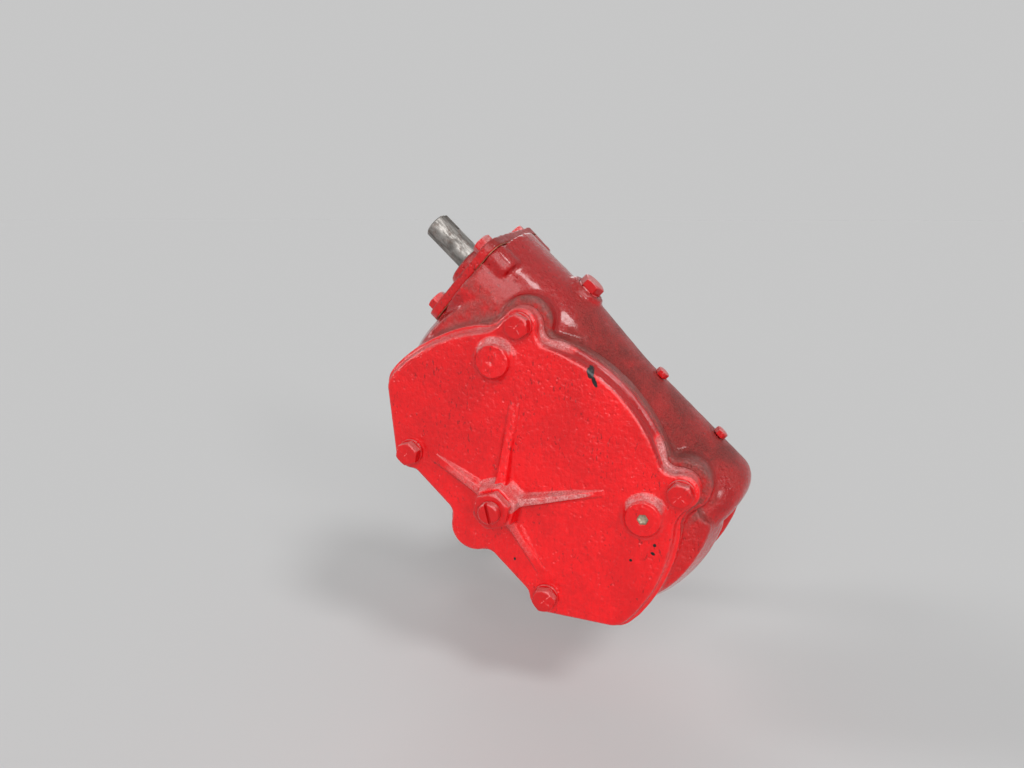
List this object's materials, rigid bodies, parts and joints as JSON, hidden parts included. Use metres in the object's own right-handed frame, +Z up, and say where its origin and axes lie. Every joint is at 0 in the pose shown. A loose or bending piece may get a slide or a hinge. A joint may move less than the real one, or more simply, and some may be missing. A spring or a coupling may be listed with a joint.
{
  "type": "manual tractor steering gearbox",
  "caption": "Cast manual steering gearbox with a fan-shaped side cover, a cam tube, an input shaft and a swinging drop arm on the lever shaft.",
  "frame": {"origin": "centre of the machined mounting face at the back of the box, on the lever shaft's axis", "axes": "+Z up as fitted; +Y out of the mounting face, along the trunnion and the lever shaft; the side cover faces -Y; the cam's closed end points to +X and down"},
  "size_m": [0.2622, 0.2384, 0.297],
  "materials": {
    "housing_enamel": "gloss enamel over a rough casting, dusty on top",
    "cover_enamel": "gloss enamel brushed over a rough casting",
    "gasket": "dark gasket paper, painted at the edge",
    "cover_bolts": "steel painted over with the same enamel",
    "end_bolts": "steel painted over with the same enamel",
    "bare_steel": "machined steel, dull with age",
    "shims": "thin shim stock",
    "seal_rubber": "matte",
    "arm_enamel": "gloss enamel on a forging"
  },
  "bodies": {
    "box": {"housing": "housing_enamel", "side_cover": "cover_enamel", "cover_gasket": "gasket", "cover_bolt_1": "cover_bolts", "cover_bolt_2": "cover_bolts", "cover_bolt_3": "cover_bolts", "cover_bolt_4": "cover_bolts", "cover_washer_1": "cover_bolts", "cover_washer_2": "cover_bolts", "cover_washer_3": "cover_bolts", "cover_washer_4": "cover_bolts", "adjusting_screw": "cover_bolts", "adjusting_nut": "cover_bolts", "level_plug": "bare_steel", "end_cover": "housing_enamel", "end_shims": "shims", "end_bolt_1": "end_bolts", "end_bolt_2": "end_bolts", "end_bolt_3": "end_bolts", "end_bolt_4": "end_bolts", "filler_plug": "end_bolts", "passage_plug_1": "end_bolts", "passage_plug_2": "end_bolts", "input_seal": "seal_rubber", "lever_seal": "seal_rubber"},
    "input": {"input_shaft": "bare_steel"},
    "lever": {"lever_shaft": "bare_steel", "drop_arm": "arm_enamel", "arm_washer": "bare_steel", "arm_nut": "bare_steel"}
  },
  "joints": [
    {"name": "lever_shaft_turn", "type": "hinge", "parent": "box", "child": "lever", "pos_m": [0, 0, 0], "axis": [0, 1, 0], "range_deg": [-40, 40]},
    {"name": "input_shaft_turn", "type": "hinge", "parent": "box", "child": "input", "pos_m": [-0.0307, -0.044, 0.14187], "axis": [0.729, 0, -0.6845], "range_deg": [-720, 720]}
  ],
  "couplings": [
    {"joint": "input_shaft_turn", "follows": "lever_shaft_turn", "ratio": 18}
  ]
}
